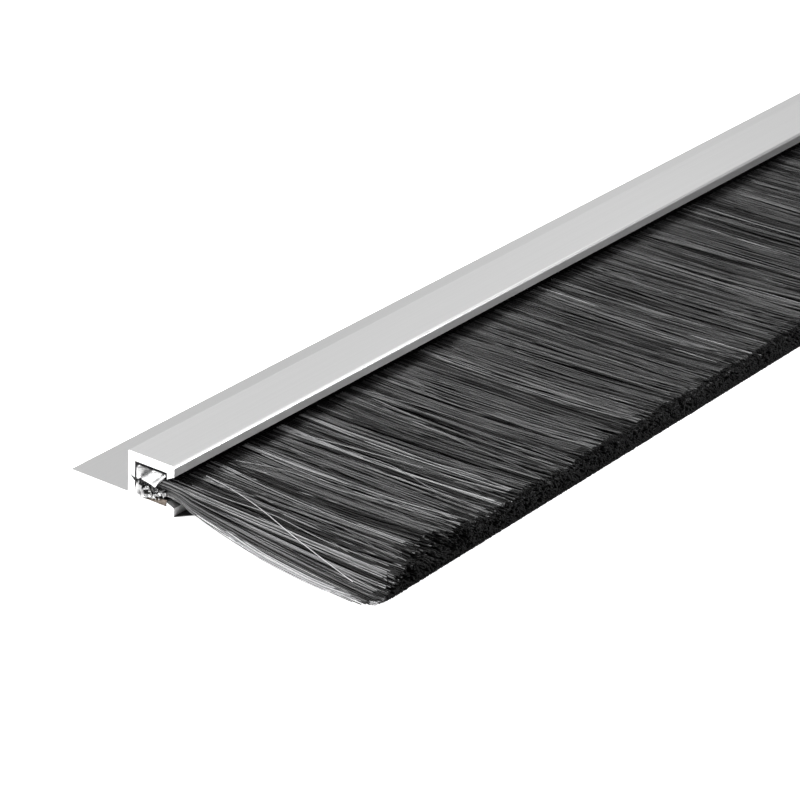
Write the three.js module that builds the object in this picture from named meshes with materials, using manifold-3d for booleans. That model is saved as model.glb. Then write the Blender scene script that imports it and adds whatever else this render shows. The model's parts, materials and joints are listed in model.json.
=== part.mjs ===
// A brush door sweep: an aluminium carrier whose channel grips a strip brush.
// Millimetres, +Z up. +Y runs along the strip and +X points towards the filament tips.
// The sweep lies on the flat face that goes against the door, and the origin is the
// middle of its footprint on that face.
import * as THREE from 'three';
import { mergeVertices } from 'three/addons/utils/BufferGeometryUtils.js';
import Module from 'manifold-3d';

const wasm = await Module();
wasm.setup();

// Overall size
const STRIP_LENGTH = 914.4; // 36 in, cut square at both ends
const CARRIER_WIDTH = 25.4; // 1 in, flange and channel together
const FREE_LENGTH = 50.8; // 2 in of filament beyond the channel
const GAP = 0.3; // clearance between neighbouring solids

// Aluminium extrusion
const CHANNEL_WIDTH = 11.1;
const CHANNEL_HEIGHT = 10.5;
const FLANGE_THICKNESS = 1.8;
const WALL = 1.6;
const ROOF = 1.8;
const FLOOR = 1.65;
const LIP = 1.7; // thickness of both lips along X
const UPPER_LIP_INNER_Z = 7.4; // the lips' facing edges are bevelled, so the mouth flares
const UPPER_LIP_OUTER_Z = 8.3;
const LOWER_LIP_INNER_Z = 2.55;
const LOWER_LIP_OUTER_Z = 1.8;
const NOSE_RADIUS = 0.55; // rounded top front edge of the channel
const EDGE_RADIUS = 0.25;

// Screw holes in the flange
const SCREW_HOLE_DIAMETER = 4.5;
const SCREW_HOLE_PITCH = 200;
const SCREW_HOLE_COUNT = 5;
const HOLE_SIDES = 32;

// Nick left in the back wall where the brush is staked at each end
const NICK_DEPTH = 1;
const NICK_LENGTH = 3;
const NICK_Z = 5.4;
const NICK_DROP = 1.2;
const NICK_WIDTH = 0.45;

// Strip brush: folded steel backing, core wire and filaments
const SHEET = 0.7;
const BACKING_CORNER = 1.3;
const LEG_PINCH = 0.35; // how far each leg leans in at its edge
const PINCH_START = 4.3; // distance from the fold to where the legs lean in
const WIRE_DIAMETER = 1.6;
const WIRE_SETBACK = 2.8; // wire axis behind the fold's outer face
const WIRE_SIDES = 20;

// Free filaments: they bend about a line a little outside the mouth
const PIVOT_REACH = 5.9; // pivot line beyond the channel's front
const PIVOT_Z = 5;
const KNUCKLE_RADIUS = 2.9; // half the filament pack's thickness at the pivot line
const SEAT_HALF_ANGLE = 40; // degrees of the seat each side of the -X direction
const TIP_BOTTOM_Z = 1;
const TIP_TOP_Z = 6.7;
const END_SPLAY = 6; // how far the end filaments spread past the cut, at their tips
const PACK_COUNT = 4;

// Places along X, worked out from the sizes above
const TIP_X = (CARRIER_WIDTH + FREE_LENGTH) / 2;
const FLANGE_EDGE_X = -TIP_X;
const MOUTH_X = FLANGE_EDGE_X + CARRIER_WIDTH;
const CHANNEL_BACK_X = MOUTH_X - CHANNEL_WIDTH;
const PIVOT_X = MOUTH_X + PIVOT_REACH;
const LIP_INNER_X = MOUTH_X - LIP;
const BACKING_LEFT_X = CHANNEL_BACK_X + WALL + GAP;
const BACKING_RIGHT_X = LIP_INNER_X - GAP;
const BACKING_BOTTOM_Z = FLOOR + GAP;
const BACKING_TOP_Z = CHANNEL_HEIGHT - ROOF - GAP;
const BACKING_MIDDLE_Z = (BACKING_BOTTOM_Z + BACKING_TOP_Z) / 2;
const PINCH_X = BACKING_LEFT_X + PINCH_START;

const aluminium = new THREE.MeshStandardMaterial({ color: 0xc6c6c9, metalness: 1, roughness: 0.35 });
const galvanisedSteel = new THREE.MeshStandardMaterial({ color: 0xb9bbbd, metalness: 1, roughness: 0.3 });
const wireSteel = new THREE.MeshStandardMaterial({ color: 0x9a9c9e, metalness: 1, roughness: 0.4 });
const filament = new THREE.MeshStandardMaterial({ color: 0x161617, metalness: 0, roughness: 0.45 });

// Closed outline through corners given as [x, z] or [x, z, radius], each radius as an arc.
function roundedOutline(corners, arcSteps = 8) {
  const points = [];
  corners.forEach(([x, z, radius = 0], i) => {
    const corner = new THREE.Vector2(x, z);
    if (radius === 0) {
      points.push(corner);
      return;
    }
    const before = new THREE.Vector2(...corners.at(i - 1).slice(0, 2)).sub(corner).normalize();
    const after = new THREE.Vector2(...corners[(i + 1) % corners.length].slice(0, 2)).sub(corner).normalize();
    const halfAngle = Math.acos(before.dot(after)) / 2;
    const centre = before.clone().add(after).normalize().multiplyScalar(radius / Math.sin(halfAngle)).add(corner);
    const tangent = radius / Math.tan(halfAngle);
    const start = before.multiplyScalar(tangent).add(corner).sub(centre);
    const end = after.multiplyScalar(tangent).add(corner).sub(centre);
    const turn = Math.atan2(start.cross(end), start.dot(end));
    for (let step = 0; step <= arcSteps; step++) {
      points.push(start.clone().rotateAround(new THREE.Vector2(), (turn * step) / arcSteps).add(centre));
    }
  });
  return points;
}

// Arc of points about a centre, angles in degrees from +X towards +Z.
function arc(centreX, centreZ, radius, fromAngle, toAngle, steps) {
  const points = [];
  for (let step = 0; step <= steps; step++) {
    const angle = THREE.MathUtils.degToRad(fromAngle + ((toAngle - fromAngle) * step) / steps);
    points.push(new THREE.Vector2(centreX + radius * Math.cos(angle), centreZ + radius * Math.sin(angle)));
  }
  return points;
}

// A section in X and Z, pushed along +Y from startY.
function extrudeAlongY(outline, startY, length, holes = []) {
  const shape = new THREE.Shape(outline);
  shape.holes = holes.map((hole) => new THREE.Path(hole));
  const geometry = new THREE.ExtrudeGeometry(shape, { depth: length, bevelEnabled: false });
  geometry.rotateX(Math.PI / 2);
  geometry.translate(0, startY + length, 0);
  return geometry;
}

function toSolid(geometry) {
  const bare = geometry.clone();
  bare.deleteAttribute('normal');
  bare.deleteAttribute('uv');
  const merged = mergeVertices(bare, 1e-5);
  const mesh = new wasm.Mesh({
    numProp: 3,
    vertProperties: merged.attributes.position.array,
    triVerts: Uint32Array.from(merged.index.array),
  });
  return new wasm.Manifold(mesh);
}

function toGeometry(solid) {
  const mesh = solid.getMesh();
  const geometry = new THREE.BufferGeometry();
  geometry.setAttribute('position', new THREE.BufferAttribute(Float32Array.from(mesh.vertProperties), 3));
  geometry.setIndex(new THREE.BufferAttribute(Uint32Array.from(mesh.triVerts), 1));
  return geometry;
}

function namedMesh(name, geometry, material) {
  const mesh = new THREE.Mesh(geometry, material);
  mesh.name = name;
  return mesh;
}

// h-shaped section: a flat flange, and a channel with two lips that opens towards +X.
function carrierOutline() {
  return roundedOutline([
    [FLANGE_EDGE_X, 0, EDGE_RADIUS],
    [MOUTH_X, 0, EDGE_RADIUS],
    [MOUTH_X, LOWER_LIP_OUTER_Z],
    [LIP_INNER_X, LOWER_LIP_INNER_Z],
    [LIP_INNER_X, FLOOR],
    [CHANNEL_BACK_X + WALL, FLOOR, EDGE_RADIUS],
    [CHANNEL_BACK_X + WALL, CHANNEL_HEIGHT - ROOF, EDGE_RADIUS],
    [LIP_INNER_X, CHANNEL_HEIGHT - ROOF, EDGE_RADIUS],
    [LIP_INNER_X, UPPER_LIP_INNER_Z],
    [MOUTH_X, UPPER_LIP_OUTER_Z],
    [MOUTH_X, CHANNEL_HEIGHT, NOSE_RADIUS],
    [CHANNEL_BACK_X, CHANNEL_HEIGHT, EDGE_RADIUS],
    [CHANNEL_BACK_X, FLANGE_THICKNESS],
    [FLANGE_EDGE_X, FLANGE_THICKNESS, EDGE_RADIUS],
  ]);
}

function screwHole(y) {
  const radius = SCREW_HOLE_DIAMETER / 2;
  const hole = new THREE.CylinderGeometry(radius, radius, 3 * FLANGE_THICKNESS, HOLE_SIDES);
  hole.rotateX(Math.PI / 2);
  hole.translate((FLANGE_EDGE_X + CHANNEL_BACK_X) / 2, y, FLANGE_THICKNESS / 2);
  return hole;
}

// A slanting nick in the back wall that starts outside the cut end and runs inwards from it.
function stakingNick(startY) {
  const wallInnerX = CHANNEL_BACK_X + WALL;
  const outline = [
    new THREE.Vector2(wallInnerX - NICK_DEPTH, NICK_Z),
    new THREE.Vector2(wallInnerX + GAP, NICK_Z - NICK_DROP),
    new THREE.Vector2(wallInnerX + GAP, NICK_Z - NICK_DROP + 2 * NICK_WIDTH),
    new THREE.Vector2(wallInnerX - NICK_DEPTH, NICK_Z + NICK_WIDTH / 2),
  ];
  return extrudeAlongY(outline, startY, 2 * NICK_LENGTH);
}

function makeCarrier() {
  let solid = toSolid(extrudeAlongY(carrierOutline(), -STRIP_LENGTH / 2, STRIP_LENGTH));
  for (let i = 0; i < SCREW_HOLE_COUNT; i++) {
    const y = (i - (SCREW_HOLE_COUNT - 1) / 2) * SCREW_HOLE_PITCH;
    solid = solid.subtract(toSolid(screwHole(y)));
  }
  for (const endY of [-STRIP_LENGTH / 2, STRIP_LENGTH / 2]) {
    solid = solid.subtract(toSolid(stakingNick(endY - NICK_LENGTH)));
  }
  return namedMesh('aluminium_carrier', toGeometry(solid), aluminium);
}

// Steel strip folded into a U round the filaments, its two legs pinched in on them.
function makeBacking() {
  const innerLeftX = BACKING_LEFT_X + SHEET;
  const outline = roundedOutline([
    [BACKING_RIGHT_X, BACKING_BOTTOM_Z + LEG_PINCH + SHEET],
    [PINCH_X, BACKING_BOTTOM_Z + SHEET],
    [innerLeftX, BACKING_BOTTOM_Z + SHEET, BACKING_CORNER - SHEET],
    [innerLeftX, BACKING_TOP_Z - SHEET, BACKING_CORNER - SHEET],
    [PINCH_X, BACKING_TOP_Z - SHEET],
    [BACKING_RIGHT_X, BACKING_TOP_Z - LEG_PINCH - SHEET],
    [BACKING_RIGHT_X, BACKING_TOP_Z - LEG_PINCH],
    [PINCH_X, BACKING_TOP_Z],
    [BACKING_LEFT_X, BACKING_TOP_Z, BACKING_CORNER],
    [BACKING_LEFT_X, BACKING_BOTTOM_Z, BACKING_CORNER],
    [PINCH_X, BACKING_BOTTOM_Z],
    [BACKING_RIGHT_X, BACKING_BOTTOM_Z + LEG_PINCH],
  ]);
  const geometry = extrudeAlongY(outline, -STRIP_LENGTH / 2, STRIP_LENGTH);
  return namedMesh('brush_backing', geometry, galvanisedSteel);
}

function wireOutline(radius) {
  return arc(BACKING_LEFT_X + WIRE_SETBACK, BACKING_MIDDLE_Z, radius, 0, 360, WIRE_SIDES).slice(0, -1);
}

function makeCoreWire() {
  const geometry = extrudeAlongY(wireOutline(WIRE_DIAMETER / 2), -STRIP_LENGTH / 2, STRIP_LENGTH);
  return namedMesh('core_wire', geometry, wireSteel);
}

// The filaments' folded middle: wrapped round the wire, gripped by the legs, and out
// through the mouth as far as the seat that the free filaments turn in.
function makeFilamentRoots() {
  const inset = SHEET + GAP;
  const seatRadius = KNUCKLE_RADIUS + GAP;
  const seat = arc(PIVOT_X, PIVOT_Z, seatRadius, 180 + SEAT_HALF_ANGLE, 180 - SEAT_HALF_ANGLE, 10);
  const fold = roundedOutline([
    [BACKING_RIGHT_X, BACKING_TOP_Z - LEG_PINCH - inset],
    [PINCH_X, BACKING_TOP_Z - inset],
    [BACKING_LEFT_X + inset, BACKING_TOP_Z - inset, BACKING_CORNER - SHEET],
    [BACKING_LEFT_X + inset, BACKING_BOTTOM_Z + inset, BACKING_CORNER - SHEET],
    [PINCH_X, BACKING_BOTTOM_Z + inset],
    [BACKING_RIGHT_X, BACKING_BOTTOM_Z + LEG_PINCH + inset],
  ]);
  const wireHole = wireOutline(WIRE_DIAMETER / 2 + GAP);
  const geometry = extrudeAlongY([...seat, ...fold], -STRIP_LENGTH / 2, STRIP_LENGTH, [wireHole]);
  return namedMesh('filament_roots', geometry, filament);
}

// Moves the vertices of one end face outwards along Y, more the nearer they are to the tips.
function splayEnd(geometry, endY, splay) {
  const position = geometry.attributes.position;
  for (let i = 0; i < position.count; i++) {
    if (Math.abs(position.getY(i) - endY) > GAP / 2) continue;
    const reach = Math.max(0, position.getX(i) - PIVOT_X) / (TIP_X - PIVOT_X);
    position.setY(i, endY + splay * reach);
  }
}

// One length of the free filaments, from the rounded knuckle at the pivot to the trimmed tips.
function makeFilamentPack(index) {
  const outline = [
    new THREE.Vector2(TIP_X, TIP_BOTTOM_Z),
    new THREE.Vector2(TIP_X, TIP_TOP_Z),
    ...arc(PIVOT_X, PIVOT_Z, KNUCKLE_RADIUS, 90, 270, 16),
  ];
  const pitch = (STRIP_LENGTH + GAP) / PACK_COUNT;
  const startY = -STRIP_LENGTH / 2 + index * pitch;
  const endY = startY + pitch - GAP;
  const geometry = extrudeAlongY(outline, startY, endY - startY);
  if (index === 0) splayEnd(geometry, startY, -END_SPLAY);
  if (index === PACK_COUNT - 1) splayEnd(geometry, endY, END_SPLAY);
  return namedMesh(`filament_pack_${index + 1}`, geometry, filament);
}

const group = new THREE.Group();
group.add(makeCarrier(), makeBacking(), makeCoreWire(), makeFilamentRoots());
for (let i = 0; i < PACK_COUNT; i++) group.add(makeFilamentPack(i));

export default group;
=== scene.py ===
"""A brush door sweep, seen from its near cut end: satin aluminium carrier, crimped steel
backing and a thick row of black filaments, on a plain white studio floor."""
import json
import math

import bpy
import numpy as np
from mathutils import Matrix, Vector


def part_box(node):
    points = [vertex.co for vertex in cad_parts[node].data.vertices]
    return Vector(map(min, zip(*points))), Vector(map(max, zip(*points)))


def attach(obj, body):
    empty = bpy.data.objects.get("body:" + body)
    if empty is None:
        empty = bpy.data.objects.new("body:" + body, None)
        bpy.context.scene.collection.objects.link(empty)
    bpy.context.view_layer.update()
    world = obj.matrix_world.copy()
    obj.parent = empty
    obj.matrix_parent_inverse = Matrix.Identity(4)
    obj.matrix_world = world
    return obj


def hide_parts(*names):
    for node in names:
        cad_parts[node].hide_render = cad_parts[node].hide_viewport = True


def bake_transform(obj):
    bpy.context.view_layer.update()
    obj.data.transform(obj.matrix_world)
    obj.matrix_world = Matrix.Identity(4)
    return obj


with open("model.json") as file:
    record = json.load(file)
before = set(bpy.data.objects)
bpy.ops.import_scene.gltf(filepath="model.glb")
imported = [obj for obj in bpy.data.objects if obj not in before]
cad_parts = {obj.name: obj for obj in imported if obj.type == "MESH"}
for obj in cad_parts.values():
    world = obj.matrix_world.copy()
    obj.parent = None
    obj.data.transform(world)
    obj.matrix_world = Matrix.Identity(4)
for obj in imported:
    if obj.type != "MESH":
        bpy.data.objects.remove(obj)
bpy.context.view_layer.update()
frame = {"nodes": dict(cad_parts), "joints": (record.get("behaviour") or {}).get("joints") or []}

MM = 0.001

# Places taken from the frame, in metres: +Y runs along the strip, +X points to the tips, and the
# face that lies on the door is at height 0
CARRIER_LOW, CARRIER_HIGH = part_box("aluminium_carrier")
BACKING_LOW, BACKING_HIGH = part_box("brush_backing")
WIRE_LOW, WIRE_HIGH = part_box("core_wire")
PACK_LOW, PACK_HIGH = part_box("filament_pack_2")
NEAR_Y = CARRIER_LOW.y
FAR_Y = CARRIER_HIGH.y
MOUTH_X = CARRIER_HIGH.x
TIP_X = PACK_HIGH.x
CHANNEL_WIDTH = 11.1 * MM
CHANNEL_BACK_X = MOUTH_X - CHANNEL_WIDTH
HINGES = [joint for joint in frame["joints"] if joint["type"] == "hinge"]
PACK_EDGES = [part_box(f"filament_pack_{i + 1}")[0].y for i in range(1, len(HINGES))]

# The row of filaments
FILAMENT_RADIUS = 0.135 * MM
COLUMN_PITCH = 0.78 * MM
LAYER_COUNT = 26
BOTTOM_PITCH = 0.26 * MM  # the lowest row is laid close, so the trimmed edge is straight
TIP_THICKNESS = 5.8 * MM
ROOT_X = MOUTH_X - 5.5 * MM
ROOT_LOW_Z = 3.25 * MM
ROOT_HIGH_Z = 6.3 * MM
TIP_LOW_Z = PACK_LOW.z + 0.15 * MM
END_TUCK = 0.9 * MM  # the backing's end flap keeps the filaments this far inside the cut
TUCK_ENDS_X = (MOUTH_X - 1 * MM, MOUTH_X + 6 * MM)  # where they come out of that tuck
EDGE_DEPTH = 3 * MM  # filaments this close to a cut are seen from the side
LAYERED_DEPTH = 1.8 * MM  # and this close, the layers show as light and dark bands
SKIN_SHARE = 0.7  # layers above this share of the thickness are seen, so they get fine tubes
SKIN_STATIONS, SKIN_SIDES = 16, 5
INNER_STATIONS, INNER_SIDES = 6, 4
INNER_GIRTH = 1.3  # filaments below the skin are drawn thicker, so that the pack is closed
PIECES_PER_PACK = 4

# Locks: small bundles of filaments that lie together
LOCK_WIDTH = 1.9 * MM
LOCK_ROWS = 9
LOCK_SHIFT = 0.37  # of a lock's width, from each row of locks to the next
LOCK_PINCH = 0.4

# How the filaments lie at a cut end
# this also sets how far in from a cut the filaments get painted highlights
RUFFLE_REACH = 110 * MM  # how far in from a cut they are untidy
END_SPLAY = 6.0 * MM  # how far the lowest tips spread past the cut
SPLAY_REACH = 11 * MM
TOP_DRAW_IN = 8.1 * MM  # how much farther in the top tips lie than the lowest ones
TOP_DRAW_REACH = 6 * MM
NOTCH_DEPTH = 3.5 * MM  # how far the upper tips fall short, and where
NOTCH_PLACE = 14 * MM
NOTCH_REACH = 7 * MM
CORNER_CUT = 3.2 * MM  # how far the outermost tips fall short
CORNER_REACH = 0.9 * MM
THIN_SHARE = 0.14  # of the pack's thickness that is left at the outermost tips
THIN_PLACE, FULL_PLACE = -6.5 * MM, 9 * MM  # where it is thinnest, past the cut, and full

# Shades of the filaments, by their material slot. Black and dark are near their own colour, and
# black also stands for painted shade; grey and light are painted highlights, pale a painted
# reflection of the floor
BLACK, DARK, GREY, LIGHT, PALE, CUT_FACE = range(6)

# Waves that the filaments lean in along the strip: length, size, and drift from layer to layer
LEAN_WAVES = [(6.7 * MM, 0.4 * MM, 8), (15 * MM, 0.7 * MM, 5)]
LATE_LEAN_WAVES = [(2.7 * MM, 0.1 * MM, 17), (5.1 * MM, 0.3 * MM, 9)]
LIFT_WAVES = [(9 * MM, 0.28 * MM, 0), (23 * MM, 0.35 * MM, 0)]
RIPPLE_WAVES = [(11 * MM, 3.0, 3)]  # here the size is a phase, in radians

# Single long strays over the near end, in millimetres: X beyond the channel's back, Y from the
# cut, and height over the door face
STRAYS = [
    [(13.0, 7.1, 6.6), (20.0, 5.4, 7.0), (29.0, 3.0, 6.8), (42.0, -1.7, 6.3), (57.0, -5.6, 4.9)],
    [(13.0, 3.0, 6.2), (22.0, 2.2, 6.6), (33.0, 2.6, 6.7), (45.0, 1.6, 6.2), (59.0, 2.4, 5.6)],
    [(13.0, 16.0, 6.4), (24.0, 17.4, 7.3), (37.0, 17.0, 7.6), (49.0, 20.0, 7.4), (60.0, 21.5, 6.9)],
    [(13.0, 33.0, 6.4), (25.0, 31.0, 7.4), (38.0, 31.6, 7.5), (50.0, 29.0, 7.3), (61.0, 29.6, 7.0)],
    [(11.0, 0.1, 4.2), (20.0, -2.0, 2.9), (32.0, -4.2, 2.0), (45.0, -5.5, 1.4), (57.4, -6.1, 1.2)],
]
# the pale and light strays are painted highlights
STRAY_SHADES = [PALE, LIGHT, LIGHT, LIGHT, DARK]
STRAY_GIRTH = 0.55

# Backing
SHEET = 0.7 * MM
SHEET_DRAWN = 0.9  # share of that thickness that is drawn, to stay clear of the channel
CRUSH_LENGTH = 9 * MM  # the part at each end that is crushed, and so drawn in finer steps
FLAP_DRAW_IN = 4.2 * MM  # how far in the top leg ends, under the flap that is folded over


# ---------------------------------------------------------------- mesh building


class MeshParts:
    """Collects points and faces from numpy arrays, then makes one mesh of them."""

    def __init__(self):
        self.points = []
        self.corners = []
        self.sizes = []
        self.slots = []
        self.smooth = []
        self.count = 0

    def add_points(self, points):
        start = self.count
        self.points.append(np.asarray(points, np.float32).reshape(-1, 3))
        self.count += len(self.points[-1])
        return start

    def add_faces(self, faces, slot=0, smooth=True):
        faces = np.asarray(faces, np.int32)
        self.corners.append(faces.ravel())
        self.sizes.append(np.full(len(faces), faces.shape[1], np.int32))
        self.slots.append(np.broadcast_to(np.asarray(slot, np.int32), (len(faces),)))
        self.smooth.append(np.full(len(faces), smooth, bool))

    def build(self, name, materials):
        points = np.concatenate(self.points)
        corners = np.concatenate(self.corners)
        sizes = np.concatenate(self.sizes)
        mesh = bpy.data.meshes.new(name)
        mesh.vertices.add(len(points))
        mesh.vertices.foreach_set("co", points.ravel())
        mesh.loops.add(len(corners))
        mesh.loops.foreach_set("vertex_index", corners)
        mesh.polygons.add(len(sizes))
        mesh.polygons.foreach_set("loop_start", np.cumsum(sizes) - sizes)
        mesh.polygons.foreach_set("material_index", np.concatenate(self.slots))
        mesh.polygons.foreach_set("use_smooth", np.concatenate(self.smooth))
        for material in materials:
            mesh.materials.append(material)
        mesh.update(calc_edges=True)
        piece = bpy.data.objects.new(name, mesh)
        bpy.context.scene.collection.objects.link(piece)
        return piece


def add_tubes(parts, centres, radii, sides, slots, cut_slot, across, up, phase):
    """Closed tubes along rows of centre points, with a slot for each tube or each length of it."""
    count, stations = centres.shape[:2]
    angle = phase[:, None] + 2 * math.pi * np.arange(sides) / sides
    ring = np.cos(angle)[..., None] * across + np.sin(angle)[..., None] * up
    points = centres[:, :, None, :] + (radii[:, None, None] * ring)[:, None, :, :]
    start = parts.add_points(points)
    index = start + np.arange(count * stations * sides).reshape(count, stations, sides)
    near, far = index[:, :-1], index[:, 1:]
    quads = np.stack([near, np.roll(near, -1, 2), np.roll(far, -1, 2), far], -1)
    lengths = np.broadcast_to(np.reshape(slots, (count, -1)), (count, stations - 1))
    face_slots = np.repeat(lengths.ravel(), sides)
    parts.add_faces(quads.reshape(-1, 4), face_slots, True)
    for cap, backwards in ((points[:, -1], False), (points[:, 0], True)):
        corners = parts.add_points(cap) + np.arange(count * sides).reshape(count, sides)
        parts.add_faces(corners[:, ::-1] if backwards else corners, cut_slot, False)


def smooth_step(value, low, high):
    """0 below low, 1 above high, and a smooth rise between them."""
    t = np.clip((value - low) / (high - low), 0, 1)
    return t * t * (3 - 2 * t)


# ---------------------------------------------------------------- materials


def new_material(name, base, metallic, roughness):
    """A material and its shader; a pattern that is linked later takes the base's place."""
    material = bpy.data.materials.new(name)
    material.use_nodes = True
    shader = material.node_tree.nodes["Principled BSDF"]
    shader.inputs["Base Color"].default_value = (*base, 1)
    shader.inputs["Metallic"].default_value = metallic
    shader.inputs["Roughness"].default_value = roughness
    return material, shader


def add_node(material, kind, **settings):
    """A new node in a material or a world."""
    node = material.node_tree.nodes.new(kind)
    for key, value in settings.items():
        setattr(node, key, value)
    return node


def link(material, source, target):
    material.node_tree.links.new(source, target)


def map_range(material, value, source, result):
    """The value mapped from one range to another and kept inside it."""
    node = add_node(material, "ShaderNodeMapRange")
    link(material, value, node.inputs["Value"])
    for name, number in zip(("From Min", "From Max", "To Min", "To Max"), (*source, *result)):
        node.inputs[name].default_value = number
    return node.outputs["Result"]


def calculate(material, operation, *inputs, kind="ShaderNodeMath"):
    """A Math or Vector Math node whose inputs are sockets or plain values."""
    node = add_node(material, kind, operation=operation)
    for value, socket in zip(inputs, node.inputs):
        if isinstance(value, bpy.types.NodeSocket):
            link(material, value, socket)
        else:
            socket.default_value = value
    return node


def scaled_colour(material, colour, factor):
    """The colour times the factor."""
    node = add_node(material, "ShaderNodeVectorMath", operation="SCALE")
    link(material, colour, node.inputs[0])
    link(material, factor, node.inputs["Scale"])
    return node.outputs[0]


def object_place(material):
    """The place on the object, in frame coordinates."""
    return add_node(material, "ShaderNodeTexCoord").outputs["Object"]


def axes_of(material, vector):
    """The X, Y and Z of a vector."""
    node = add_node(material, "ShaderNodeSeparateXYZ")
    link(material, vector, node.inputs["Vector"])
    return node.outputs


def stretched_noise(material, stretch, scale):
    """Noise drawn out along Y, as the lines that a die leaves on drawn metal."""
    mapping = add_node(material, "ShaderNodeMapping")
    mapping.inputs["Scale"].default_value = (1, 1 / stretch, 1)
    noise = add_node(material, "ShaderNodeTexNoise")
    noise.inputs["Scale"].default_value = scale
    noise.inputs["Detail"].default_value = 4
    link(material, object_place(material), mapping.inputs["Vector"])
    link(material, mapping.outputs["Vector"], noise.inputs["Vector"])
    return noise.outputs["Fac"]


def ramp(material, factor, stops):
    """A colour that the factor picks between stops of a place and a colour."""
    node = add_node(material, "ShaderNodeValToRGB")
    elements = node.color_ramp.elements
    while len(elements) < len(stops):
        elements.new(0.5)
    for element, (place, colour) in zip(elements, stops):
        element.position = place
        element.color = (*colour, 1)
    link(material, factor, node.inputs["Fac"])
    return node.outputs["Color"]


def grey(value, blue=0.0):
    """A grey, with more or less of it in the blue channel."""
    return (value, value, value * (1 + blue))


# Painted shade on the low flange beside the channel's top: its tone, and where it fades
# out, upwards and along the strip
FLANGE_SHADE_TONE = 0.88
FLANGE_FADE_Z = (2.5 * MM, 3.5 * MM)
FLANGE_FADE_Y = (NEAR_Y + 60 * MM, NEAR_Y + 200 * MM)

# Painted shade in the crease of the backing's folded-over end, as a line along the strip
CREASE_SHADE_MIDDLE = (CHANNEL_BACK_X + 4.0 * MM, 0, 7.5 * MM)
CREASE_SHADE_RADIUS = 2.4 * MM
CREASE_SHADE_TONE = 0.25


def flange_painted_shade(material, colour):
    """The colour with painted shade: a little darker towards the near cut on the low flange."""
    place = axes_of(material, object_place(material))
    over_flange = map_range(material, place["Z"], FLANGE_FADE_Z, (FLANGE_SHADE_TONE, 1))
    along_strip = map_range(material, place["Y"], FLANGE_FADE_Y, (FLANGE_SHADE_TONE, 1))
    tone = calculate(material, "MAXIMUM", over_flange, along_strip)
    return scaled_colour(material, colour, tone.outputs[0])


def sawn_faces(material):
    """1 on the faces that look along the strip, which the saw left, and 0 elsewhere."""
    geometry = add_node(material, "ShaderNodeNewGeometry")
    normal = axes_of(material, geometry.outputs["True Normal"])
    facing = calculate(material, "ABSOLUTE", normal["Y"])
    return calculate(material, "GREATER_THAN", facing.outputs[0], 0.7).outputs[0]


def make_aluminium():
    """Satin extrusion with faint die lines, and a paler, rougher sawn end."""
    material, shader = new_material("aluminium_satin", grey(0.8), 1.0, 0.3)
    lines = stretched_noise(material, 400, 5000)
    drawn = ramp(material, lines, [(0.3, grey(0.765)), (0.7, grey(0.795))])
    sawn = sawn_faces(material)
    colour = add_node(material, "ShaderNodeMix", data_type="RGBA")
    link(material, sawn, colour.inputs["Factor"])
    # the low flange gets painted shade, darker towards the near cut
    link(material, flange_painted_shade(material, drawn), colour.inputs["A"])
    colour.inputs["B"].default_value = (*grey(0.97), 1)
    link(material, colour.outputs["Result"], shader.inputs["Base Color"])
    roughness = map_range(material, sawn, (0, 1), (0.38, 0.75))
    link(material, roughness, shader.inputs["Roughness"])
    bump = add_node(material, "ShaderNodeBump")
    bump.inputs["Strength"].default_value = 0.03
    bump.inputs["Distance"].default_value = 0.02 * MM
    link(material, lines, bump.inputs["Height"])
    link(material, bump.outputs["Normal"], shader.inputs["Normal"])
    return material


def make_galvanised():
    """Bright zinc with rolling streaks, painted shade in the crease where the cut end folds over.
    """
    material, shader = new_material("galvanised_bright", grey(0.85), 1.0, 0.34)
    streaks = stretched_noise(material, 60, 2500)
    colour = ramp(material, streaks, [(0.36, grey(0.4)), (0.46, grey(0.66)), (0.8, grey(0.74))])
    vector = "ShaderNodeVectorMath"
    # painted shade: darker close to a line along the strip, in the crease of the folded-over end
    away = calculate(material, "SUBTRACT", object_place(material), CREASE_SHADE_MIDDLE, kind=vector)
    flat = calculate(material, "MULTIPLY", away.outputs[0], (1, 0, 1), kind=vector)
    distance = calculate(material, "LENGTH", flat.outputs[0], kind=vector)
    bright_zinc = map_range(material, distance.outputs["Value"], (0, CREASE_SHADE_RADIUS), (CREASE_SHADE_TONE, 1))
    link(material, scaled_colour(material, colour, bright_zinc), shader.inputs["Base Color"])
    return material


def make_tarnished():
    """Zinc gone dull and brownish where the saw heated its edge."""
    material, shader = new_material("galvanised_tarnished", (0.3, 0.25, 0.21), 0.6, 0.6)
    marks = stretched_noise(material, 40, 2000)
    colour = ramp(material, marks, [(0.35, (0.09, 0.075, 0.06)), (0.65, (0.23, 0.19, 0.16))])
    link(material, colour, shader.inputs["Base Color"])
    return material


def make_wire_steel():
    """Drawn steel wire with faint lines along it."""
    material, shader = new_material("drawn_wire", grey(0.55), 1.0, 0.35)
    marks = stretched_noise(material, 30, 3000)
    colour = ramp(material, marks, [(0.3, grey(0.42)), (0.7, grey(0.62))])
    link(material, colour, shader.inputs["Base Color"])
    return material


def make_filament_shades():
    """Black nylon in a few shades, the lighter ones painted highlights and painted reflection."""
    shades = []
    for name, value, roughness, gloss in (
        ("filament_black", 0.005, 0.36, 0.20),
        ("filament_dark", 0.020, 0.32, 0.50),
        ("filament_grey", 0.060, 0.28, 0.60),
        ("filament_painted_highlight", 0.170, 0.26, 0.80),
        ("filament_painted_reflection", 0.450, 0.40, 0.50),
        ("filament_cut", 0.006, 0.80, 0.05),
    ):
        material, shader = new_material(name, grey(value, 0.02), 0.0, roughness)
        shader.inputs["IOR"].default_value = 1.5
        shader.inputs["Specular IOR Level"].default_value = gloss
        shades.append(material)
    return shades


# ---------------------------------------------------------------- filaments


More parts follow.
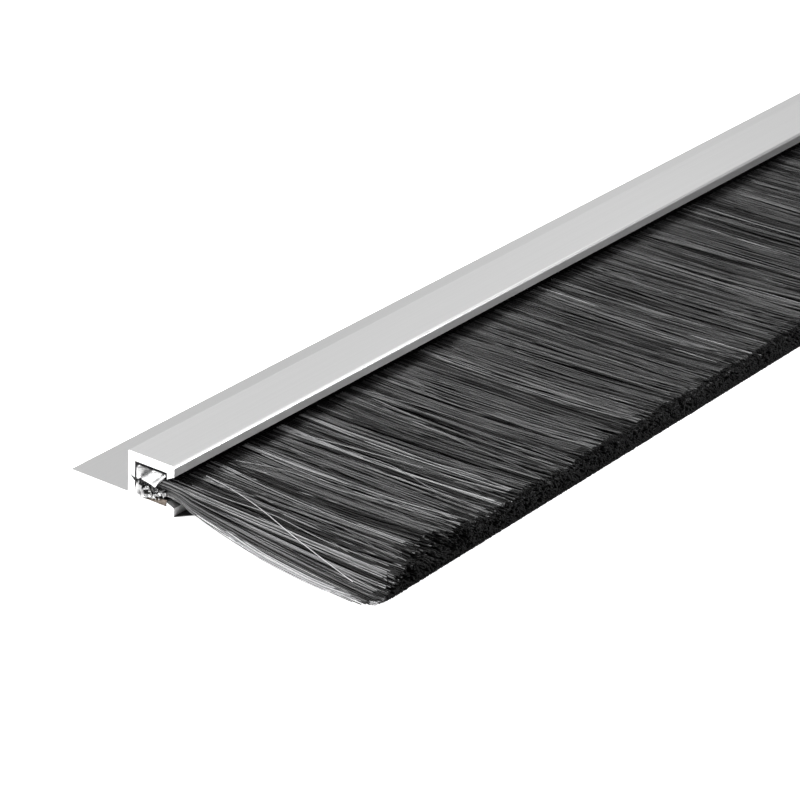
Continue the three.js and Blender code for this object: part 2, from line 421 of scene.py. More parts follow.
def waves(rng, place, layer, terms):
    """A smooth random function of the place along the strip that shifts from layer to layer."""
    total = np.zeros_like(place)
    for length, size, drift in terms:
        phase = rng.uniform(0, 2 * math.pi)
        total += size * np.sin(2 * math.pi * place / length + phase + drift * layer)
    return total


def end_distance(y):
    """How far inside the nearer cut a place is; below 0 past it."""
    return np.minimum(y - NEAR_Y, FAR_Y - y)


def end_side(y):
    """The direction of Y out of the nearer cut."""
    return np.where(y < (NEAR_Y + FAR_Y) / 2, -1.0, 1.0)


def ruffle_and_highlight(y):
    """Untidiness and share of painted highlights: most at the cut ends, little in the middle."""
    return 0.2 + 0.8 * np.exp(-end_distance(y) / RUFFLE_REACH)


def lock_of(y, layer):
    """Column and row of the lock, a small bundle that lies together, each filament is in."""
    row = (layer * LOCK_ROWS).astype(int)
    column = ((y - NEAR_Y) / LOCK_WIDTH + LOCK_SHIFT * row).astype(int)
    return column, row


def shared(draw, lock):
    """One random draw for each lock, handed to all its filaments."""
    column, row = lock
    return draw((column.max() + 1, row.max() + 1))[column, row]


def sideways_fields(rng, y, layer, steady):
    """How each filament leans, closes up with its lock, tilts and bows along the strip."""
    fields = {"lean": waves(rng, y, layer, LEAN_WAVES) * steady}
    fields["late_lean"] = waves(rng, y, layer, LATE_LEAN_WAVES) * steady
    lock = lock_of(y, layer)
    lock_middle = NEAR_Y + (lock[0] + 0.5 - LOCK_SHIFT * lock[1]) * LOCK_WIDTH
    fields["pinch"] = (lock_middle - y) * LOCK_PINCH * steady
    # some filaments, mostly in the skin and near the cuts, lie across the others
    crossing_share = (0.08 + 0.22 * smooth_step(layer, 0.7, 1)) * ruffle_and_highlight(y)
    crossing = rng.random(len(y)) < crossing_share
    tilt = rng.normal(0, np.where(crossing, 3.4, 0.35 + 0.3 * layer)) * MM
    lock_tilt = shared(lambda size: rng.normal(0, 1.0 * MM, size), lock)
    fields["tilt"] = (tilt + lock_tilt * (0.4 + 0.6 * ruffle_and_highlight(y))) * steady
    bow = rng.normal(0, np.where(crossing, 1.1, 0.25)) * MM
    lock_bow = shared(lambda size: rng.normal(0, 0.5 * MM, size), lock)
    fields["bow"] = (bow + lock_bow) * steady
    return fields


def dark_lengths(rng, y, layer):
    """How much of a filament is black: painted shadow past the mouth, painted shade at its tip."""
    count = len(y)
    # in the side of the pack that a cut opens, the roots get no painted shadow of the mouth
    at_cut = end_distance(y) < EDGE_DEPTH
    root = np.where(at_cut, -5, rng.uniform(-0.9, 0.35, count)) * MM
    # lower filaments away from the cuts get a longer black tip, as painted shade
    below = (layer < 0.84) & (end_distance(y) > 2.5 * MM)
    tip = np.where(below, 2.2, rng.uniform(0.2, 1.3, count)) * MM
    return root, tip


def strand_fields(rng, y, layer):
    """Per-filament numbers that shape its path; layer runs from 0, bottom, to 1, top."""
    count = len(y)
    # the lowest filaments and those at the cuts lie straighter than the others
    steady = smooth_step(layer, 0.02, 0.5) * (0.4 + 0.6 * smooth_step(end_distance(y), 0, 5 * MM))
    fields = {"y": y, "layer": layer, **sideways_fields(rng, y, layer, steady)}
    fields["ripple"] = rng.normal(0.1, 0.2, count) * MM * steady
    fields["ripple_turns"] = rng.uniform(6, 18, count)
    fields["dark_root"], fields["dark_tip"] = dark_lengths(rng, y, layer)
    fields["ripple_phase"] = waves(rng, y, layer, RIPPLE_WAVES) + rng.normal(0, 0.8, count)
    fields["lift"] = waves(rng, y, layer, LIFT_WAVES)
    fields["loose"] = np.abs(rng.normal(0, 0.26, count)) * MM
    fields["trim"] = rng.uniform(-0.08, 0.04, count) * MM
    return fields


def station_places(count):
    """Places from 0 to 1 along a filament, closer together at its root and its tip."""
    even = np.linspace(0, 1, count)
    return even - 0.5 * np.sin(2 * math.pi * even) / (2 * math.pi)


def tip_places(column, distance):
    """X of each filament's tip: the upper ones fall short a little way in from each cut."""
    notch = smooth_step(column["layer"], 0.25, 0.85)
    notch = notch * np.exp(-(((distance - NOTCH_PLACE) / NOTCH_REACH) ** 2))
    short = NOTCH_DEPTH * notch + CORNER_CUT * np.exp(-distance / CORNER_REACH)
    return TIP_X + column["trim"] - short


def way_across(column, x, free, distance):
    """How far along the strip each filament has moved from its root's place."""
    side = end_side(column["y"])
    inward = np.clip(column["layer"], 0, 1) ** 1.5 * np.exp(-distance / TOP_DRAW_REACH)
    fan = side * (END_SPLAY * np.exp(-distance / SPLAY_REACH) - TOP_DRAW_IN * inward)
    across = fan * (1 - (1 - free) ** 1.7)
    across += column["lean"] * free ** 1.2
    across += column["late_lean"] * free ** 2.5
    across += column["pinch"] * smooth_step(free, 0.03, 0.3)
    across += column["tilt"] * free
    across += column["bow"] * 4 * free * (1 - free)
    ripple = np.sin(free * column["ripple_turns"] + column["ripple_phase"])
    across += column["ripple"] * ripple * free
    tuck = np.maximum(END_TUCK - distance, 0)
    across -= side * tuck * (1 - smooth_step(x, *TUCK_ENDS_X))
    outward = smooth_step(free, 0.08, 0.5) * (1 - smooth_step(free, 0.72, 1.05))
    return across + side * column["swing"] * outward


def heights(column, free, y):
    """Height over the door face: the pack thins towards its tips past the cuts."""
    layer = column["layer"]
    wedge = THIN_SHARE + (1 - THIN_SHARE) * smooth_step(end_distance(y), THIN_PLACE, FULL_PLACE)
    low = ROOT_LOW_Z + (TIP_LOW_Z - ROOT_LOW_Z) * (1 - (1 - free) ** 2)
    at_tip = TIP_THICKNESS + column["lift"] * free
    thick = (ROOT_HIGH_Z - ROOT_LOW_Z) * (1 - free) + at_tip * free
    z = low + layer * thick * (1 - free * (1 - wedge))
    # the topmost filaments stand loosely over the others
    z += column["loose"] * np.clip(layer * 6 - 4.5, 0, 1) * free * 2.2 * (1.25 - free)
    return np.maximum(z, FILAMENT_RADIUS * 1.2)


def strand_centres(fields, stations):
    """Centre points of each filament from inside the backing to its trimmed tip."""
    column = {key: value[:, None] for key, value in fields.items()}
    distance = np.maximum(end_distance(column["y"]), 0)
    along = station_places(stations)[None, :]
    x = ROOT_X + (tip_places(column, distance) - ROOT_X) * along
    free = np.clip((x - MOUTH_X) / (TIP_X - MOUTH_X), 0, 1)
    y = column["y"] + way_across(column, x, free, distance)
    return np.stack([x, y, heights(column, free, y)], -1)


def strand_grid(rng):
    """Root places and layers of all filaments, jittered off a regular grid."""
    columns = int((FAR_Y - NEAR_Y) / COLUMN_PITCH)
    column, row = np.meshgrid(np.arange(columns), np.arange(LAYER_COUNT), indexing="ij")
    offset = (row * 0.618) % 1  # so that no two neighbouring rows stand in line
    y = NEAR_Y + (column + offset) * COLUMN_PITCH
    y = y + rng.uniform(-0.35, 0.35, y.shape) * COLUMN_PITCH
    y = np.clip(y, NEAR_Y + FILAMENT_RADIUS, FAR_Y - FILAMENT_RADIUS)
    layer = (row + 0.5 + rng.uniform(-0.45, 0.45, y.shape)) / LAYER_COUNT
    bottom_y = np.arange(NEAR_Y + 1 * MM, FAR_Y - 1 * MM, BOTTOM_PITCH)
    bottom_layer = rng.uniform(0, 0.012, len(bottom_y))
    return np.concatenate([y.ravel(), bottom_y]), np.concatenate([layer.ravel(), bottom_layer])


def slots_along(group, centres):
    """Each length's shade: painted shadow past the mouth and painted shade at most tips, in black.
    """
    middle = (centres[:, 1:, 0] + centres[:, :-1, 0]) / 2
    in_mouth = middle < MOUTH_X + group["dark_root"][:, None]
    at_tip = middle > centres[:, -1:, 0] - group["dark_tip"][:, None]
    return np.where(in_mouth | at_tip, BLACK, group["shade"][:, None])


def make_strand_piece(name, fields, chosen, shades):
    """One length of the row as a mesh, with fine tubes where they are seen."""
    parts = MeshParts()
    across, up = np.array([0, 1, 0]), np.array([0, 0, 1])
    part = {key: value[chosen] for key, value in fields.items()}
    seen = (part["layer"] > SKIN_SHARE) | (end_distance(part["y"]) < EDGE_DEPTH)
    for mask, stations, sides, girth in (
        (seen, SKIN_STATIONS, SKIN_SIDES, 1),
        (~seen, INNER_STATIONS, INNER_SIDES, INNER_GIRTH),
    ):
        group = {key: value[mask] for key, value in part.items()}
        if len(group["y"]) == 0:
            continue
        centres = strand_centres(group, stations)
        radii = FILAMENT_RADIUS * group["girth"] * girth
        slots = slots_along(group, centres)
        add_tubes(parts, centres, radii, sides, slots, CUT_FACE, across, up, group["phase"])
    if part["y"].min() < NEAR_Y + 2 * MM:
        add_strays(parts)
    return parts.build(name, shades)


def add_strays(parts):
    """Long loose filaments that cross the others at the near end."""
    points = np.array(STRAYS) * MM
    points[..., 0] += CHANNEL_BACK_X
    points[..., 1] += NEAR_Y
    centres = np.stack([spline(line, 4) for line in points])
    count = len(centres)
    radii = np.full(count, FILAMENT_RADIUS * STRAY_GIRTH)
    across, up = np.array([0, 1, 0]), np.array([0, 0, 1])
    slots = np.array(STRAY_SHADES)
    add_tubes(parts, centres, radii, 6, slots, CUT_FACE, across, up, np.zeros(count))


def shade_choice(rng, y, layer):
    """Black inside as painted shade, and a skin mix lightest at the cuts, with painted highlights.
    """
    alone = rng.random(len(y))
    lock = lock_of(y, layer)
    together = shared(rng.random, lock)
    draw = np.where(rng.random(len(y)) < 0.5, alone, together)
    edge = end_distance(y) < EDGE_DEPTH
    # filaments seen from the side at a cut get lighter shades, as painted highlights
    draw = np.where(edge, draw * 0.68, draw)
    highlight_weight = ruffle_and_highlight(y)
    # painted highlights: fewer light shades away from the cuts
    shade = np.where(draw < 0.62 + 0.25 * (1 - highlight_weight), DARK, BLACK)
    shade = np.where(draw < 0.42 * highlight_weight, GREY, shade)
    shade = np.where(draw < 0.19 * highlight_weight ** 2, LIGHT, shade)
    # below the skin, black as painted shade, with some dark away from the cuts
    inside = np.where(alone < 0.5 * (1 - highlight_weight), DARK, BLACK)
    shade = np.where((layer > SKIN_SHARE - 0.1) | edge, shade, inside)
    # the outermost filaments lie in layers: every other one in painted shadow, the rest painted lit
    lit = np.where(alone < 0.38, LIGHT, GREY)
    shadowed = np.where(alone < 0.3, DARK, BLACK)
    layered = np.where(lock[1] % 2 == 0, lit, shadowed)
    return np.where(end_distance(y) < LAYERED_DEPTH, layered, shade)


def stand_out(rng, fields):
    """Some low filaments at each cut swing out half way along, pale as a painted floor reflection.
    """
    distance = end_distance(fields["y"])
    out = (distance > 1.1 * MM) & (distance < 1.7 * MM) & (fields["layer"] < 0.25)
    # pale shade: a painted reflection of the floor
    fields["shade"] = np.where(out, PALE, fields["shade"])
    fields["swing"] = np.where(out, rng.uniform(2.0, 2.6, len(out)) * MM, 0)
    for name in ("pinch", "tilt", "bow", "ripple", "late_lean"):
        fields[name] = np.where(out, 0, fields[name])


def make_filaments(shades):
    """The whole row of filaments, in lengths, a few for each pack."""
    rng = np.random.default_rng(7)
    y, layer = strand_grid(rng)
    fields = strand_fields(rng, y, layer)
    fields["girth"] = rng.uniform(0.82, 1.12, len(y))
    fields["phase"] = rng.uniform(0, 2 * math.pi, len(y))
    fields["shade"] = shade_choice(rng, y, layer)
    stand_out(rng, fields)
    edges = [NEAR_Y, *PACK_EDGES, FAR_Y]
    for index in range(len(edges) - 1):
        cuts = np.linspace(edges[index], edges[index + 1], PIECES_PER_PACK + 1)
        for part in range(PIECES_PER_PACK):
            chosen = (y >= cuts[part]) & (y < cuts[part + 1])
            name = f"filaments_{index + 1}_{part + 1}"
            piece = make_strand_piece(name, fields, chosen, shades)
            bend_filaments(piece)
            if part == 0:
                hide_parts(f"filament_pack_{index + 1}")


def bend_filaments(piece):
    """Moves the piece's placement into its mesh."""
    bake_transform(piece)


# ---------------------------------------------------------------- strip brush inside the channel

# Points at a cut end, in millimetres: X from the channel's back, depth inside the
# cut, and height over the door face. Rows run from the top down, columns from the fold out.
TOP_FLAP = [
    [(2.1, 1.5, 6.9), (2.8, 1.4, 7.1), (4.3, 1.5, 7.1),
     (6.2, 1.4, 7.1), (7.6, 1.4, 7.1), (8.5, 1.4, 7.1)],
    [(2.0, 0.6, 7.55), (2.7, 0.2, 7.9), (4.2, 0.9, 7.5),
     (6.0, 0.4, 7.75), (7.5, 0.75, 7.55), (8.7, 0.4, 7.75)],
    [(1.95, 0.4, 6.9), (2.6, -0.15, 7.1), (3.9, 1.05, 6.8),
     (4.9, 0.1, 6.8), (6.7, 0.5, 6.5), (7.9, 0.05, 6.6)],
    [(2.0, 0.5, 5.7), (2.45, -0.1, 5.4), (3.0, 0.55, 5.5),
     (3.5, 0.0, 5.5), (5.3, 0.05, 5.1), (6.7, -0.05, 4.8)],
]
CRUMPLED_EDGE = [
    [(1.95, 0.3, 4.5), (2.4, -0.1, 4.3), (2.9, 0.3, 3.9), (3.6, 0.0, 3.6)],
    [(1.95, 0.0, 3.4), (2.5, -0.35, 3.2), (3.1, 0.1, 3.0), (4.0, -0.3, 2.9)],
    [(2.0, -0.3, 2.3), (2.7, -0.55, 2.2), (3.4, -0.05, 2.3), (4.3, -0.4, 2.5)],
    [(2.2, -0.2, 1.75), (2.8, -0.4, 1.7), (3.5, -0.2, 1.8), (4.5, -0.1, 2.2)],
]
BOTTOM_SCRAP = [
    [(4.6, 0.8, 1.75), (6.0, 0.7, 2.1), (7.8, 0.6, 2.5), (9.0, 0.7, 2.65)],
    [(4.6, 0.4, 1.74), (6.1, 0.25, 1.9), (7.9, 0.2, 2.1), (9.1, 0.3, 2.2)],
    [(4.4, 0.25, 1.72), (6.1, 0.05, 1.74), (7.9, 0.0, 1.74), (9.15, 0.1, 1.74)],
]
FLAP_SHEET = 0.4 * MM
CRUMPLED_SHEET = 0.24 * MM
SCRAP_SHEET = 0.2 * MM
SLIVER_SHEET = 0.08 * MM
LEG_LIFT = 1.35 * MM  # how far the bottom leg's front edge is bent up at the cut
WIRE_SHORT = 1.4 * MM
CLEAN_SLOT, TARNISHED_SLOT = range(2)

# The filaments' folded middles, wrapped round the wire in nested layers
FOLD_PITCH = 0.42 * MM
FOLD_LAYERS = 3
FOLD_RADIUS = 0.17 * MM
FOLD_CLEARANCE = 0.2 * MM
STUB_COUNT = 34  # short sawn-off ends of filaments at each cut
STUB_RADIUS = 0.13 * MM


def backing_middle():
    """Middle line of the folded sheet, from the end of one leg round the fold to the other."""
    half = SHEET / 2
    left, right = BACKING_LOW.x + half, BACKING_HIGH.x
    low, high = BACKING_LOW.z + half, BACKING_HIGH.z - half
    radius = 1.3 * MM - half
    pinch = 0.35 * MM
    pinch_x = BACKING_LOW.x + 4.3 * MM
    bend_x = right - 1.6 * MM
    line = [(right, high - pinch), (bend_x, high - pinch * 0.55), (pinch_x, high)]
    for turn, middle_z in ((math.pi / 2, high - radius), (math.pi, low + radius)):
        for step in range(9):
            angle = turn + step * math.pi / 16
            x = left + radius + radius * math.cos(angle)
            line.append((x, middle_z + radius * math.sin(angle)))
    line += [(pinch_x, low), (bend_x, low + pinch * 0.55), (right, low + pinch)]
    return np.array(line)


def refine(line, step):
    """The same line with a point at every step along it."""
    gaps = np.linalg.norm(np.diff(line, axis=0), axis=1)
    place = np.concatenate([[0], np.cumsum(gaps)])
    even = np.linspace(0, place[-1], int(place[-1] / step) + 1)
    return np.stack([np.interp(even, place, line[:, k]) for k in range(2)], 1)


def lengthwise_stations():
    """Places along Y, close together where the ends are crimped."""
    near = CRUSH_LENGTH * np.linspace(0, 1, 41) ** 1.5
    middle = np.linspace(NEAR_Y + near[-1], FAR_Y - near[-1], 60)[1:-1]
    return np.concatenate([NEAR_Y + near, middle, (FAR_Y - near)[::-1]])


def torn_ends(points):
    """Draws the top leg in under the flap, lifts the bottom leg's edge and tears its cut."""
    moved = points.copy()
    along = (points[..., 0] - CHANNEL_BACK_X) / MM
    height = points[..., 2] / MM
    distance = end_distance(points[..., 1])
    inward = -end_side(points[..., 1])
    upper = smooth_step(height, 4.2, 6.2)
    close = 1 - smooth_step(distance, 0, 6 * MM)
    tear = 0.22 * np.sin(4.1 * along + 2.7 * height) + 0.14 * np.sin(9.3 * along - 6.1 * height + 1)
    tear = tear * MM * np.exp(-distance / (0.5 * MM))
    moved[..., 1] += inward * (FLAP_DRAW_IN * upper * close + tear * (1 - upper))
    lift = smooth_step(along, 4, 9.1) * (1 - upper) * (1 - smooth_step(distance, 0, 5 * MM))
    moved[..., 2] += LEG_LIFT * lift
    return moved


def sweep_sheet(parts, line, stations, thickness):
    """A sheet of that middle line and thickness along Y, torn and closed at its ends."""
    tangent = np.gradient(line, axis=0)
    tangent /= np.linalg.norm(tangent, axis=1)[:, None]
    out = np.stack([tangent[:, 1], -tangent[:, 0]], 1) * thickness / 2
    loop = np.concatenate([line - out, (line + out)[::-1]])
    points = np.zeros((len(stations), len(loop), 3))
    points[..., 0] = loop[:, 0]
    points[..., 1] = stations[:, None]
    points[..., 2] = loop[:, 1]
    start = parts.add_points(torn_ends(points))
    index = start + np.arange(points.shape[0] * points.shape[1]).reshape(points.shape[:2])
    near, far = index[:-1], index[1:]
    quads = np.stack([near, far, np.roll(far, -1, 1), np.roll(near, -1, 1)], -1)
    parts.add_faces(quads.reshape(-1, 4), CLEAN_SLOT, True)
    count = len(line)
    for row, flip in ((index[0], False), (index[-1], True)):
        back = row[::-1]
        strip = np.stack([row[:count - 1], row[1:count], back[1:count], back[:count - 1]], -1)
        parts.add_faces(strip[:, ::-1] if flip else strip, CLEAN_SLOT, False)


def spline(points, per_span):
    """A smooth curve through the points along the first axis."""
    padded = np.concatenate([2 * points[:1] - points[1:2], points, 2 * points[-1:] - points[-2:-1]])
    curve = []
    for i in range(1, len(padded) - 2):
        a, b, c, d = padded[i - 1:i + 3]
        for t in np.linspace(0, 1, per_span, endpoint=False):
            slope = (c - a) * t + (2 * a - 5 * b + 4 * c - d) * t ** 2
            curve.append(b + 0.5 * (slope + (3 * b - a - 3 * c + d) * t ** 3))
    curve.append(points[-1])
    return np.array(curve)


def place_at_end(points, far_end):
    """Given points of a cut end in frame coordinates, at the near or the far end."""
    placed = np.array(points, float) * MM
    placed[..., 0] += CHANNEL_BACK_X
    placed[..., 1] = FAR_Y - placed[..., 1] if far_end else NEAR_Y + placed[..., 1]
    return placed


def add_bent_sheet(parts, rows, thickness, far_end, per_span=8, slot=CLEAN_SLOT):
    """A closed piece of sheet metal through a grid of points."""
    grid = spline(place_at_end(rows, far_end), per_span)
    grid = np.swapaxes(spline(np.swapaxes(grid, 0, 1), per_span), 0, 1)
    down, out = np.gradient(grid, axis=0), np.gradient(grid, axis=1)
    normal = np.cross(down, out)
    normal /= np.linalg.norm(normal, axis=2)[..., None]
    out = normal * thickness / 2
    count = grid.shape[0] * grid.shape[1]
    start = parts.add_points(np.stack([grid + out, grid - out]))
    front = start + np.arange(count).reshape(grid.shape[:2])
    a, b, c, d = front[:-1, :-1], front[1:, :-1], front[1:, 1:], front[:-1, 1:]
    faces = np.stack([a, b, c, d], -1).reshape(-1, 4)
    parts.add_faces(faces, slot)
    parts.add_faces(faces[:, ::-1] + count, slot)
    rim = np.concatenate([front[:, 0], front[-1, 1:], front[-2::-1, -1], front[0, -2:0:-1]])
    after = np.roll(rim, -1)
    parts.add_faces(np.stack([after, rim, rim + count, after + count], -1), slot, False)


def add_slivers(parts, far_end, rng):
    """Curled burrs that the saw left below the flap."""
    for _ in range(9):
        x, z = rng.uniform(2.3, 8.2), rng.uniform(2.3, 4.3)
        angle, length, width = rng.uniform(-0.9, 0.9), rng.uniform(0.7, 1.5), rng.uniform(0.12, 0.3)
        middle = np.array([x, 0.3, z])
        aim = np.array([math.cos(angle), 0, math.sin(angle)])
        curl = np.array([0, -1.6, 0])
        rows = []
        for t in np.linspace(-0.5, 0.5, 4):
            centre = middle + aim * length * t + curl * t * t
            half = np.array([-aim[2], rng.uniform(-0.5, 0.5), aim[0]]) * width / 2
            rows.append([centre + half, centre - half])
        add_bent_sheet(parts, rows, SLIVER_SHEET, far_end, 4)


def make_backing(bright_zinc, tarnished):
    """The folded strip that holds the filaments, with the scraps at its cut ends."""
    rng = np.random.default_rng(5)
    parts = MeshParts()
    line = refine(backing_middle(), 0.3 * MM)
    sweep_sheet(parts, line, lengthwise_stations(), SHEET * SHEET_DRAWN)
    for far_end in (False, True):
        add_bent_sheet(parts, TOP_FLAP, FLAP_SHEET, far_end)
        add_bent_sheet(parts, CRUMPLED_EDGE, CRUMPLED_SHEET, far_end)
        add_bent_sheet(parts, BOTTOM_SCRAP, SCRAP_SHEET, far_end, slot=TARNISHED_SLOT)
        add_slivers(parts, far_end, rng)
    piece = parts.build("backing_strip", [bright_zinc, tarnished])
    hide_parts("brush_backing")
    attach(piece, "brush_insert")


def make_wire(material):
    """Core wire, cut a little short of the backing's folded ends."""
    stations = np.linspace(NEAR_Y + WIRE_SHORT, FAR_Y - WIRE_SHORT, 80)
    centres = np.zeros((1, len(stations), 3))
    centres[..., 0] = (WIRE_LOW.x + WIRE_HIGH.x) / 2
    centres[..., 1] = stations
    centres[..., 2] = (WIRE_LOW.z + WIRE_HIGH.z) / 2
    radius = np.array([(WIRE_HIGH.x - WIRE_LOW.x) / 2])
    parts = MeshParts()
    across, up = np.array([0, 0, 1]), np.array([1, 0, 0])
    add_tubes(parts, centres, radius, 24, np.array([0]), 0, across, up, np.array([0.0]))
    piece = parts.build("wire_core", [material])
    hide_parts("core_wire")
    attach(piece, "brush_insert")


def loop_outline(clear):
    """A filament's fold: in along the top, round the wire and out along the bottom."""
    centre_x = (WIRE_LOW.x + WIRE_HIGH.x) / 2
    centre_z = (WIRE_LOW.z + WIRE_HIGH.z) / 2
    bend = (WIRE_HIGH.x - WIRE_LOW.x) / 2 + clear
    angle = np.linspace(math.pi / 2, 3 * math.pi / 2, 9)
    arc = np.stack([centre_x + bend * np.cos(angle) * 0.9, centre_z + bend * np.sin(angle)], 1)
    top = np.array([[ROOT_X + 0.8 * MM, centre_z + bend]])
    bottom = np.array([[ROOT_X + 0.8 * MM, centre_z - bend]])
    return np.concatenate([top, arc, bottom])


def add_loops(parts, centres, radius, rng):
    """Three-sided tubes along loops that lie in planes across the strip."""
    count, stations = centres.shape[:2]
    tangent = np.gradient(centres, axis=1)
    tangent /= np.linalg.norm(tangent, axis=2)[..., None]
    side = np.array([0.0, 1.0, 0.0])
    normal = np.cross(side, tangent)
    angle = 2 * math.pi * np.arange(3) / 3
    ring = np.cos(angle)[:, None] * side + np.sin(angle)[:, None] * normal[:, :, None, :]
    start = parts.add_points(centres[:, :, None, :] + radius * ring)
    index = start + np.arange(count * stations * 3).reshape(count, stations, 3)
    near, far = index[:, :-1], index[:, 1:]
    quads = np.stack([near, far, np.roll(far, -1, 2), np.roll(near, -1, 2)], -1)
    shades = rng.choice(GREY + 1, count)  # black, dark or grey
    slots = np.repeat(shades, (stations - 1) * 3)
    parts.add_faces(quads.reshape(-1, 4), slots, True)
    parts.add_faces(index[:, -1, ::-1], CUT_FACE, False)
    parts.add_faces(index[:, 0], CUT_FACE, False)


def add_stubs(parts, far_end, rng):
    """Short ends of sawn-off filaments, squashed between the flap and the lower leg."""
    for _ in range(STUB_COUNT):
        middle = np.array([rng.uniform(2.4, 8.6), rng.uniform(0.1, 0.7), rng.uniform(2.9, 4.9)])
        aim = np.array([rng.normal(0, 0.8), rng.normal(-0.5, 0.3), rng.normal(0, 0.8)])
        aim /= np.linalg.norm(aim)
        length = rng.uniform(0.5, 1.4)
        bow = rng.normal(0, 0.12, 3)
        steps = (-0.5, -0.17, 0.17, 0.5)
        line = [middle + aim * length * t + bow * (1 - 4 * t * t) for t in steps]
        centres = place_at_end(line, far_end)[None]
        phase = rng.uniform(0, 2 * math.pi, 1)
        across = np.cross(aim, (0.3, 0.5, 0.8))
        across /= np.linalg.norm(across)
        up = np.cross(aim, across)
        shade = rng.choice(LIGHT + 1, 1)  # any but the palest
        radius = np.array([STUB_RADIUS])
        add_tubes(parts, centres, radius, 5, shade, CUT_FACE, across, up, phase)


def make_filament_folds(shades):
    """The folded middles of the filaments, wrapped round the wire inside the backing."""
    rng = np.random.default_rng(11)
    parts = MeshParts()
    columns = int((FAR_Y - NEAR_Y - 2 * END_TUCK) / FOLD_PITCH)
    for nest in range(FOLD_LAYERS):
        outline = loop_outline(FOLD_CLEARANCE + FOLD_PITCH * nest)
        y = NEAR_Y + END_TUCK + (np.arange(columns) + 0.5 * (nest % 2)) * FOLD_PITCH
        if nest < FOLD_LAYERS - 1:  # the inner layers show only at the cuts
            y = y[end_distance(y) < EDGE_DEPTH]
        y = y + rng.uniform(-0.1, 0.1, len(y)) * MM
        centres = np.zeros((len(y), len(outline), 3))
        centres[..., 0] = outline[:, 0]
        centres[..., 1] = y[:, None]
        centres[..., 2] = outline[:, 1]
        add_loops(parts, centres, FOLD_RADIUS, rng)
    for far_end in (False, True):
        add_stubs(parts, far_end, rng)
    piece = parts.build("filament_folds", shades)
    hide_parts("filament_roots")
    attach(piece, "brush_insert")


# ---------------------------------------------------------------- camera, light and floor

CAMERA_PLACE = Vector((0.36478, -0.91688, 0.31058))
CAMERA_AZIMUTH = math.radians(35.424)
CAMERA_ELEVATION = math.radians(25.607)
CAMERA_ROLL = math.radians(2.427)
CAMERA_LENS = 161.85
FLOOR_HALF_SIDE = 12
FLOOR_GLOW = 0.95

# The painted shadow on the floor under the channel: where it lies and how softly it ends. At
# the near cut it starts on a slant, X + CONTACT_SLANT * Y = CONTACT_START.
CONTACT_X = (CARRIER_LOW.x + 3 * MM, MOUTH_X + 3.5 * MM)
CONTACT_Y = (NEAR_Y + 0.2 * MM, FAR_Y - 0.2 * MM)
CONTACT_SOFT_X = 1.2 * MM
CONTACT_SOFT_Y = 0.3 * MM
CONTACT_SLANT = -0.77
CONTACT_START = MOUTH_X - 0.7 * MM + CONTACT_SLANT * (NEAR_Y - 0.5 * MM)
CONTACT_SOFT_START = 0.8 * MM


def make_camera():
    """A long lens close to the near cut, a little above the sweep."""
    a, e = CAMERA_AZIMUTH, CAMERA_ELEVATION
    back = Vector((math.sin(a) * math.cos(e), -math.cos(a) * math.cos(e), math.sin(e)))
    level = Vector((math.cos(a), math.sin(a), 0))
    upright = back.cross(level)
    right = math.cos(CAMERA_ROLL) * level + math.sin(CAMERA_ROLL) * upright
    up = -math.sin(CAMERA_ROLL) * level + math.cos(CAMERA_ROLL) * upright
    data = bpy.data.cameras.new("camera")
    data.sensor_width = 36
    data.lens = CAMERA_LENS
    data.clip_start = 0.01
    data.clip_end = 20
    camera = bpy.data.objects.new("camera", data)
    turn = Matrix((right, up, back)).transposed()
    camera.matrix_world = Matrix.Translation(CAMERA_PLACE) @ turn.to_4x4()
    bpy.context.scene.collection.objects.link(camera)
    bpy.context.scene.camera = camera


def box_falloff(material, place, low, high, soft):
    """1 where the place is between low and high, falling to 0 within soft outside them."""
    from_middle = calculate(material, "SUBTRACT", place, (low + high) / 2)
    away = calculate(material, "ABSOLUTE", from_middle.outputs[0])
    half = (high - low) / 2
    return map_range(material, away.outputs[0], (half, half + soft), (1, 0))


def painted_contact_shadow(material):
    """1 on the floor where a shadow is painted, in the gap under the channel, and 0 elsewhere."""
    place = axes_of(material, object_place(material))
    across = box_falloff(material, place["X"], *CONTACT_X, CONTACT_SOFT_X)
    along = box_falloff(material, place["Y"], *CONTACT_Y, CONTACT_SOFT_Y)
    both = calculate(material, "MULTIPLY", across, along)
    slanted = calculate(material, "MULTIPLY_ADD", place["Y"], CONTACT_SLANT, place["X"])
    low, high = CONTACT_START - 2, CONTACT_START
    start = box_falloff(material, slanted.outputs[0], low, high, CONTACT_SOFT_START)
    return calculate(material, "MULTIPLY", both.outputs[0], start).outputs[0]


def make_floor():
    """A pale glowing floor with no shadow but a painted one close along the channel's front."""
    half = FLOOR_HALF_SIDE
    parts = MeshParts()
    corners = [(-half, -half, 0), (half, -half, 0), (half, half, 0), (-half, half, 0)]
    start = parts.add_points(corners)
    parts.add_faces([[start, start + 1, start + 2, start + 3]])
    material, shader = new_material("pale_floor", grey(0.85), 0.0, 0.8)
    # painted shadow: along the channel's front the floor is dark and does not glow
    dark = painted_contact_shadow(material)
    tone = ramp(material, dark, [(0, grey(0.85)), (1, grey(0.02))])
    link(material, tone, shader.inputs["Base Color"])
    shader.inputs["Emission Color"].default_value = (1, 1, 1, 1)
    glow = map_range(material, dark, (0, 1), (FLOOR_GLOW, 0))
    link(material, glow, shader.inputs["Emission Strength"])
    floor = parts.build("floor", [material])


# Tones of the room, from straight below (0) over the horizon (0.5) to straight above (1)
ROOM_TONES = [(0.0, 0.3), (0.5, 0.5), (0.6, 0.34), (0.72, 0.3), (1.0, 0.14)]


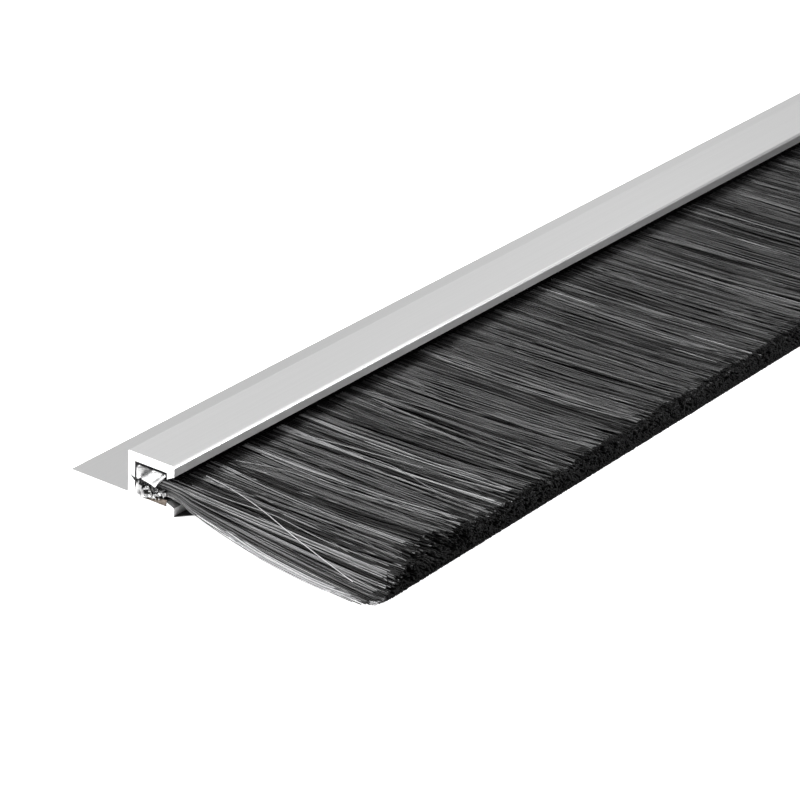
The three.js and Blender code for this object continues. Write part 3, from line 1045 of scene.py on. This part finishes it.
def make_world():
    """A pale room: brightest at the horizon, and dimmer overhead, where the lights hang."""
    world = bpy.data.worlds.new("studio")
    world.use_nodes = True
    split = axes_of(world, add_node(world, "ShaderNodeTexCoord").outputs["Generated"])
    height = map_range(world, split["Z"], (-1, 1), (0, 1))
    colour = ramp(world, height, [(place, grey(tone)) for place, tone in ROOM_TONES])
    link(world, colour, world.node_tree.nodes["Background"].inputs["Color"])
    bpy.context.scene.world = world


def make_softbox(name, from_cut, aim_from_cut, size, power):
    """A soft panel of light; its place and its aim are measured from the near cut."""
    near = Vector((0, NEAR_Y, 0))
    place = near + Vector(from_cut)
    aim = near + Vector(aim_from_cut) - place
    data = bpy.data.lights.new(name, "AREA")
    data.shape = "RECTANGLE"
    data.size, data.size_y = size
    data.energy = power
    light = bpy.data.objects.new(name, data)
    light.location = place
    light.rotation_mode = "QUATERNION"
    light.rotation_quaternion = aim.to_track_quat("-Z", "Y")
    light.visible_camera = False
    bpy.context.scene.collection.objects.link(light)


def make_lights():
    """One wide panel overhead, and four smaller ones that light the metal and the filaments."""
    below, cut = (0, -0.22, 0), (0, 0, 0)
    make_softbox("overhead", (0, -0.22, 0.7), below, (1.0, 1.0), 6.6)
    make_softbox("right_panel", (0.25, 0.19, 0.085), cut, (0.15, 0.16), 0.8)
    make_softbox("upper_panel", (0.02, 0.25, 0.22), cut, (0.22, 0.18), 0.14)
    make_softbox("left_key", (-0.17, -0.13, 0.27), cut, (0.15, 0.15), 0.85)
    make_softbox("back_panel", (-1.24, 1.8, 1.04), cut, (2.6, 1.8), 6.2)


def dress_frame():
    """The carrier keeps its CAD mesh and gets its own metal."""
    carrier = frame["nodes"]["aluminium_carrier"]
    carrier.data.materials.clear()
    carrier.data.materials.append(make_aluminium())


make_camera()
make_world()
make_lights()
make_floor()
dress_frame()
filament_shades = make_filament_shades()
make_filaments(filament_shades)
make_filament_folds(filament_shades)
make_backing(make_galvanised(), make_tarnished())
make_wire(make_wire_steel())

view = bpy.context.scene.view_settings
view.view_transform = "Standard"
view.look = "None"
